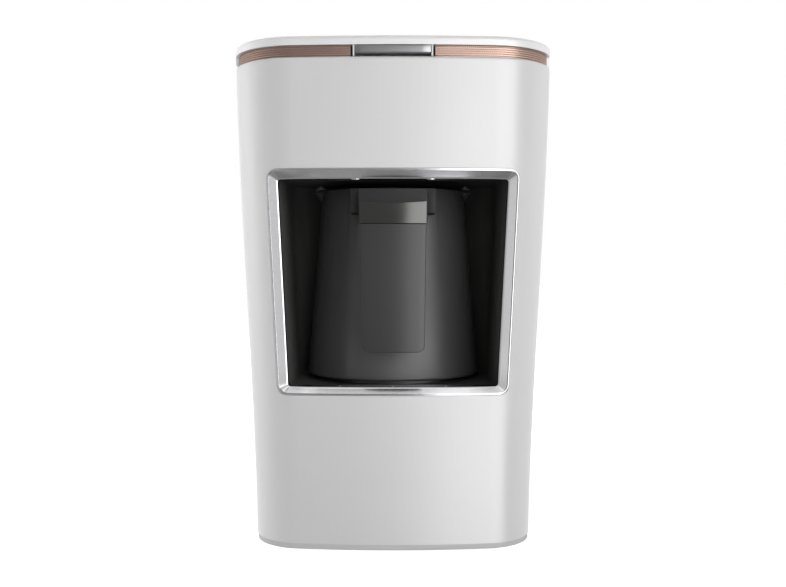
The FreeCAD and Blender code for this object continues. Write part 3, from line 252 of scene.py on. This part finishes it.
finishes = {
    "white_shell": moulded("white_gloss", (0.51, 0.51, 0.51), 0.33, coat=1.0, shade=0.99, gloss=1.0),
    "grey_base": moulded("grey_matte", (0.44, 0.44, 0.45), 0.55),
    "frame_chrome": satin_metal("satin_chrome", (0.72, 0.72, 0.73), 0.17, line_depth=5e-7),
    "bar_metal": satin_metal("bar_metal", (0.34, 0.34, 0.35), 0.3, (1, 1, 30)),
    "band_copper": satin_metal("copper_band", (0.62, 0.42, 0.35), 0.38),
    "chamber_black": moulded("chamber_black", (0.070, 0.070, 0.068), 0.65, gloss=0.3),
    "pot_black": moulded("pot_black", (0.048, 0.048, 0.048), 0.48, gloss=0.8),
    "handle_black": moulded("handle_black", (0.018, 0.018, 0.018), 0.55, gloss=0.3),
    "handle_face_black": moulded("handle_face", (0.026, 0.026, 0.026), 0.28, shade=0.99, patchy=0.01),
    "heater_metal": satin_metal("heater_metal", (0.20, 0.20, 0.21), 0.42),
    "base_metal": satin_metal("base_metal", (0.55, 0.55, 0.56), 0.3),
    "plain_steel": satin_metal("plain_steel", (0.50, 0.50, 0.50), 0.35),
    "screw_steel": satin_metal("screw_steel", (0.45, 0.45, 0.46), 0.3),
    "black_rubber": moulded("black_rubber", (0.02, 0.02, 0.02), 0.75),
    "inner_plastic": moulded("inner_plastic", (0.05, 0.05, 0.055), 0.5),
    "board_green": laminate("board_green"),
    "transformer_core": moulded("varnished_core", (0.10, 0.07, 0.03), 0.4),
    "sensor_clear": moulded("smoked_lens", (0.20, 0.20, 0.20), 0.25),
    "wire_sleeve": moulded("wire_sleeve", (0.35, 0.03, 0.02), 0.5),
}
# Painted light: the lid is the housing's white plastic made lighter, to stand in for the light that falls
# on its front face from above
lid_white_painted_light = moulded("lid_white_painted_light", (0.64, 0.64, 0.64), 0.33, coat=1.0, shade=0.99, gloss=1.0)
band_plated = satin_metal("dark_plated", (0.095, 0.095, 0.092), 0.17, (1, 1, 12), 500, 5e-7)

slot_of = {row["node"]: row["material_slot"] for row in frame["record"]["subparts"]}
special = {"top_cover": lid_white_painted_light, "handle_band": band_plated}


def finish_for(node):
    return special.get(node, finishes[slot_of[node]])


for node in slot_of:
    data = nodes[node].data
    data.materials.clear()
    data.materials.append(finish_for(node))


# Pieces
def body_of(node):
    for body, held in frame["record"]["behaviour"]["bodies"].items():
        if node in held:
            return body
    return "machine"


def new_piece(name, bm, node, smooth_under=SMOOTH_UNDER):
    # A closed mesh in the place of a node of the frame
    bmesh.ops.recalc_face_normals(bm, faces=bm.faces)
    mesh = bpy.data.meshes.new(name)
    bm.to_mesh(mesh)
    bm.free()
    for face in mesh.polygons:
        face.use_smooth = True
    mesh.set_sharp_from_angle(angle=math.radians(smooth_under))
    mesh.materials.append(finish_for(node))
    piece = bpy.data.objects.new(name, mesh)
    bpy.context.scene.collection.objects.link(piece)
    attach(piece, body_of(node))
    return piece


def merged(node):
    bm = bmesh.new()
    bm.from_mesh(nodes[node].data)
    bmesh.ops.remove_doubles(bm, verts=bm.verts, dist=1e-6)
    flat = math.radians(CLOSE_TO_FLAT)
    bmesh.ops.dissolve_limit(bm, angle_limit=flat, verts=bm.verts, edges=bm.edges)
    return bm


def eased(node, width, segments):
    # The node again, with its sharp edges rounded
    bm = merged(node)
    sharp = [edge for edge in bm.edges if edge.calc_face_angle(0) > math.radians(SHARP_OVER)]
    bmesh.ops.bevel(bm, geom=sharp, offset=width * MM, offset_type="OFFSET", segments=segments,
                    profile=0.5, affect="EDGES", clamp_overlap=True, material=-1)
    piece = new_piece("eased_" + node, bm, node)
    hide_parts(node)


def between(bottom, top, z):
    return bottom + (top - bottom) * z / HEIGHT


def half_width(z):
    t = z / HEIGHT
    s_curve = 3 * t**2 - 2 * t**3
    return between(HALF_BOTTOM, HALF_TOP, HEIGHT * ((1 - TAPER_SWING) * t + TAPER_SWING * s_curve))


def front_y(z):
    return -DEPTH / 2 + FRONT_LEAN * (1 - z / HEIGHT)


def corner_centre(z, inset=0.0):
    bow = between(BOW_BOTTOM, BOW_TOP, z) - inset
    corner = between(CORNER_BOTTOM, CORNER_TOP, z) - inset
    x = half_width(z) - inset - corner
    bow_y = front_y(z) + inset + bow
    return x, bow_y - math.sqrt((bow - corner) ** 2 - x**2), corner, bow, bow_y


def surface_y(x, z):
    centre_x, centre_y, corner, bow, bow_y = corner_centre(z)
    if abs(x) <= centre_x * bow / (bow - corner):
        return bow_y - math.sqrt(bow**2 - x**2)
    return centre_y - math.sqrt(corner**2 - (abs(x) - centre_x) ** 2)


# Window frame: rings round the opening, joined into one closed moulding
def all_round(amount):
    return (amount, amount, amount)


def round_opening(amount):
    return (amount - BORDER_TOP, amount - BORDER_BOTTOM, amount - BORDER_SIDE)


def behind(distance):
    return lambda x, z: surface_y(x, z) + distance


def sunk(distance):
    # As behind, but shallower along the narrow lower border and deeper at the sides, where the
    # housing curves away, so that the bevel has the same slope all round
    def place(x, z):
        near_foot = max(0.0, min(1.0, 1 - (z - frame_span()[0] - BORDER_BOTTOM) / FOOT_EASE_HEIGHT))
        side_limit = frame_side(z) - BORDER_SIDE
        near_side = max(0.0, min(1.0, 1 - (side_limit - abs(x)) / SIDE_REACH))
        return surface_y(x, z) + distance - FOOT_EASE * near_foot + SIDE_EXTRA * near_side
    return place


def on_plane(distance):
    return lambda x, z: front_y(z) + distance


def frame_span():
    low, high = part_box("window_frame")
    return low.z / MM + FRAME_FLANGE, high.z / MM - FRAME_FLANGE


def frame_side(z):
    foot, head = frame_span()
    side_head = half_width(head) - STRIP_TOP
    side_foot = half_width(foot) - STRIP_BOTTOM
    return side_foot + (side_head - side_foot) * (z - foot) / (head - foot)


def window_ring(bm, grow, corner, place):
    known = set(bm.edges)
    foot, head = frame_span()
    top = head + grow[0]
    bottom = foot - grow[1]
    wide = frame_side(top) + grow[2]
    narrow = frame_side(bottom) + grow[2]
    outline = ((-wide, top), (wide, top), (narrow, bottom), (-narrow, bottom))
    corners = [bm.verts.new((x, 0, z)) for x, z in outline]
    face = bm.faces.new(corners)
    bmesh.ops.bevel(bm, geom=corners, offset=corner, offset_type="OFFSET", segments=RING_CORNER_STEPS,
                    profile=0.5, affect="VERTICES", clamp_overlap=False, material=-1)
    face = [f for f in bm.faces if len(f.verts) == 4 * (RING_CORNER_STEPS + 1)][-1]
    sides = [edge for edge in face.edges if edge.calc_length() > 4 * corner]
    bmesh.ops.subdivide_edges(bm, edges=sides, cuts=RING_SIDE_STEPS)
    bmesh.ops.delete(bm, geom=[f for f in bm.faces if len(f.verts) > 100], context="FACES_ONLY")
    edges = [edge for edge in bm.edges if edge not in known]
    for vert in {vert for edge in edges for vert in edge.verts}:
        vert.co.y = place(vert.co.x, vert.co.z)
    return edges


def window_frame():
    bm = bmesh.new()
    steps = [
        (all_round(0), FRAME_CORNER, behind(2.75)), (all_round(0), FRAME_CORNER, behind(-0.30)),
        (all_round(-0.07), 4.93, behind(-0.44)), (all_round(-0.2), 4.8, behind(-0.5)),
        (all_round(-0.40), 4.6, behind(-0.5)), (all_round(-0.54), 4.46, behind(-0.43)),
        (all_round(-0.6), 4.4, behind(-0.28)), (all_round(-0.6), 4.4, behind(0.85)),
        (all_round(-0.95), 4.05, behind(0.85)), (all_round(-0.95), 4.05, behind(0.45)),
        (round_opening(0.55), 2.05, sunk(BEVEL_DEEP - 0.5)),
        (round_opening(0.45), 1.95, sunk(BEVEL_DEEP - 0.42)),
        (round_opening(0.15), 1.65, sunk(BEVEL_DEEP - 0.25)),
        (round_opening(0.05), 1.55, sunk(BEVEL_DEEP - 0.15)),
        (round_opening(0), 1.5, sunk(BEVEL_DEEP)), (round_opening(0), 1.5, on_plane(FRAME_BACK)),
        (all_round(FRAME_FLANGE), 8.5, on_plane(FRAME_BACK)), (all_round(FRAME_FLANGE), 8.5, behind(2.75)),
    ]
    rings = [window_ring(bm, *step) for step in steps]
    for first, second in zip(rings, rings[1:] + rings[:1]):
        made = bmesh.ops.bridge_loops(bm, edges=first + second)["faces"]
        if first is rings[SLOPE_RING]:
            across = {edge for face in made for edge in face.edges} - set(first) - set(second)
            bmesh.ops.subdivide_edges(bm, edges=list(across), cuts=SLOPE_CUTS)
    foot, head = frame_span()
    for x in (-TAB_X, TAB_X):
        tab = bmesh.ops.create_uvsphere(bm, u_segments=16, v_segments=8, radius=1.0)["verts"]
        bmesh.ops.scale(bm, vec=TAB_SIZE, verts=tab)
        z = head - BORDER_TOP
        bmesh.ops.translate(bm, vec=(x, surface_y(x, z) + BEVEL_DEEP + TAB_BEHIND, z), verts=tab)
    for x in (-RIB_X, 0, RIB_X):
        rib = bmesh.ops.create_cube(bm, size=1.0)["verts"]
        bmesh.ops.scale(bm, vec=RIB_SIZE, verts=rib)
        z = foot + BORDER_BOTTOM
        bmesh.ops.translate(bm, vec=(x, surface_y(x, z) + BEVEL_DEEP + RIB_BEHIND, z), verts=rib)
    bmesh.ops.scale(bm, vec=(MM, MM, MM), verts=bm.verts)
    piece = new_piece("framed_window", bm, "window_frame", FRAME_SMOOTH_UNDER)
    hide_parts("window_frame")


# Perforated bands between the lid and the housing
def vent_band(side, node):
    low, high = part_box(node)
    start = min(abs(low.x), abs(high.x)) / MM
    end_y = high.y / MM
    level = low.z / MM
    centre_x, centre_y, corner, bow, bow_y = corner_centre(level, BAND_INSET)
    turn = math.atan2(centre_x, bow_y - centre_y)
    first = math.asin(start / bow)
    bow_length = (turn - first) * bow
    length = bow_length + (math.acos((centre_y - end_y) / corner) - turn) * corner
    tall = high.z / MM + BAND_RAISE - level
    columns = round(length / BAND_PITCH)
    bm = bmesh.new()
    bmesh.ops.create_grid(bm, x_segments=2 * columns, y_segments=2 * BAND_ROWS, size=1.0)
    bmesh.ops.translate(bm, vec=(1, 1, 0), verts=bm.verts)
    bmesh.ops.scale(bm, vec=(length / 2, tall / 2, 1), verts=bm.verts)
    centres = []
    for vert in bm.verts:
        column = round(vert.co.x / length * 2 * columns)
        row = round(vert.co.y / tall * 2 * BAND_ROWS)
        shift = (row // 2) % 2
        if row % 2 == 1 and column % 2 == 1 - shift and 0 < column < 2 * columns:
            centres.append(vert)
    holes = bmesh.ops.bevel(bm, geom=centres, offset=HOLE_START, offset_type="OFFSET", segments=2,
                            profile=0.5, affect="VERTICES", clamp_overlap=True, material=-1)["faces"]
    # The small holes are opened to their round size
    for vert in {vert for face in holes for vert in face.verts}:
        column = round(vert.co.x / length * 2 * columns)
        row = round(vert.co.y / tall * 2 * BAND_ROWS)
        centre = Vector((column * length / (2 * columns), row * tall / (2 * BAND_ROWS), 0))
        vert.co = centre + (vert.co - centre).normalized() * BAND_HOLE
    bmesh.ops.delete(bm, geom=holes, context="FACES")
    bmesh.ops.recalc_face_normals(bm, faces=bm.faces)
    bmesh.ops.solidify(bm, geom=bm.faces, thickness=BAND_SHEET)
    for vert in bm.verts:
        along, z, inward = vert.co
        if along < bow_length:
            angle = first + along / bow
            reach = bow + inward
            x, y = reach * math.sin(angle), bow_y - reach * math.cos(angle)
        else:
            angle = turn + (along - bow_length) / corner
            reach = corner + inward
            x, y = centre_x + reach * math.sin(angle), centre_y - reach * math.cos(angle)
        vert.co = (side * x, y, level + z)
    bmesh.ops.scale(bm, vec=(MM, MM, MM), verts=bm.verts)
    piece = new_piece("pierced_" + node, bm, node, BAND_SMOOTH_UNDER)
    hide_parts(node)


window_frame()
vent_band(1, "vent_band_right")
vent_band(-1, "vent_band_left")
# Width of the rounding in millimetres, and its segments
EDGES = {
    "handle_face": (0.45, 3),
    "handle_band": (0.15, 2),
    "handle_bracket": (0.4, 2),
    "handle_grip": (0.4, 2),
    "button_bar": (0.12, 2),
    "pot_body": (0.3, 2),
    "base_plate": (0.4, 2),
    "cord_gland": (0.4, 2),
    "chamber_liner": (0.3, 2),
}
for node, (width, segments) in EDGES.items():
    eased(node, width, segments)


# Springs: each is a merged copy of its node with a mesh of its own; nothing here shortens it
def coil(node):
    piece = new_piece("coiled_" + node, merged(node), node)
    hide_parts(node)
    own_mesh(piece)


coil("button_springs")
coil("probe_spring")


# Floor, world and lights
def seen_straight(tree):
    # 1 for rays that look at a thing or mirror it, 0 for rays that light it
    light_path = tree.nodes.new("ShaderNodeLightPath")
    value = light_path.outputs["Is Camera Ray"]
    for kind in ("Is Glossy Ray", "Is Transmission Ray"):
        value = combined(tree, "MAXIMUM", value, light_path.outputs[kind])
    return value


def floor():
    bm = bmesh.new()
    bmesh.ops.create_grid(bm, x_segments=1, y_segments=1, size=FLOOR_REACH)
    mesh = bpy.data.meshes.new("floor")
    bm.to_mesh(mesh)
    bm.free()
    ground = bpy.data.objects.new("floor", mesh)
    bpy.context.scene.collection.objects.link(ground)
    material, tree, shader = new_material("pale_floor")
    grain = object_noise(tree, 8)
    pale = two_tone(tree, grain, (0.88, 0.88, 0.88), (0.90, 0.90, 0.90))
    tree.links.new(pale, shader.inputs["Base Color"])
    shader.inputs["Roughness"].default_value = 0.9
    glow = tree.nodes.new("ShaderNodeEmission")
    glow.inputs["Strength"].default_value = GLOW_STRENGTH
    mix = tree.nodes.new("ShaderNodeMixShader")
    seen = ranged(tree, seen_straight(tree), 0, FLOOR_GLOW, 0, 1)
    tree.links.new(seen, mix.inputs["Fac"])
    tree.links.new(shader.outputs["BSDF"], mix.inputs[1])
    tree.links.new(glow.outputs["Emission"], mix.inputs[2])
    tree.links.new(mix.outputs["Shader"], tree.nodes["Material Output"].inputs["Surface"])
    mesh.materials.append(material)
    ground.visible_glossy = False


def softbox(name, azimuth, height, distance, size, brightness):
    # azimuth is in degrees from the front, towards the right; brightness is what a mirror would show
    angle = math.radians(azimuth)
    place = Vector((math.sin(angle) * distance, -math.cos(angle) * distance, height))
    data = bpy.data.lights.new(name, "AREA")
    data.shape = "RECTANGLE"
    data.size, data.size_y = size
    data.energy = brightness * math.pi * size[0] * size[1]
    lamp = bpy.data.objects.new(name, data)
    lamp.location = place
    lamp.rotation_euler = (Vector((0, 0, LIGHTS_AIM)) - place).to_track_quat("-Z", "Y").to_euler()
    bpy.context.scene.collection.objects.link(lamp)
    return lamp


def studio():
    world = bpy.data.worlds.new("studio")
    world.use_nodes = True
    tree = world.node_tree
    background = tree.nodes["Background"]
    # Mirrored rays see a darker room below the table than round it
    place = tree.nodes.new("ShaderNodeTexCoord")
    parts = tree.nodes.new("ShaderNodeSeparateXYZ")
    tree.links.new(place.outputs["Generated"], parts.inputs["Vector"])
    height = ranged(tree, parts.outputs["Z"], UNDER_TABLE, PAPER_WHITE, *DARK_BELOW)
    round_room = ranged(tree, parts.outputs["Y"], BEHIND_EYE, PAPER_WHITE, *DARK_BEHIND)
    darker = combined(tree, "MINIMUM", height, round_room)
    straight = tree.nodes.new("ShaderNodeMix")
    tree.links.new(seen_straight(tree), straight.inputs["Factor"])
    straight.inputs["A"].default_value = SKY_LIGHT
    tree.links.new(darker, straight.inputs["B"])
    # Seen itself, the room is white all round
    seen = tree.nodes.new("ShaderNodeLightPath").outputs["Is Camera Ray"]
    white_room = combined(tree, "MAXIMUM", straight.outputs["Result"], seen)
    tree.links.new(white_room, background.inputs["Strength"])
    background.inputs["Color"].default_value = (1, 1, 1, 1)
    bpy.context.scene.world = world
    softbox("key_right", 30, 0.12, 1.15, (0.95, 1.4), 2.9)
    softbox("overhead", 0, 1.3, 0.25, (0.9, 0.6), 0.4)
    for unmirrored in (
        softbox("side_left", -105, 0.12, 1.2, (0.8, 1.2), 7.6),
        softbox("side_right", 110, 0.12, 1.2, (0.6, 1.2), 2.6),
        softbox("rear_fill", 180, 0.3, 1.2, (0.9, 0.9), 3.0),
        softbox("front_fill", 0, 0.12, 0.9, (0.6, 0.6), 3.0),
    ):
        unmirrored.visible_glossy = False


def camera():
    data = bpy.data.cameras.new("camera")
    data.sensor_width = SENSOR
    data.lens = FOCAL_PIXELS / PHOTO_WIDE * SENSOR
    data.shift_y = -(PHOTO_HIGH / 2 - HORIZON_ROW) / PHOTO_WIDE
    data.clip_start = 0.02
    eye = bpy.data.objects.new("camera", data)
    eye.location = (0, cad_box[0][1] - EYE_TO_FRONT, EYE_HEIGHT)
    eye.rotation_euler = (math.pi / 2, 0, 0)
    bpy.context.scene.collection.objects.link(eye)
    bpy.context.scene.camera = eye


floor()
studio()
camera()
bpy.context.scene.view_settings.view_transform = "Standard"
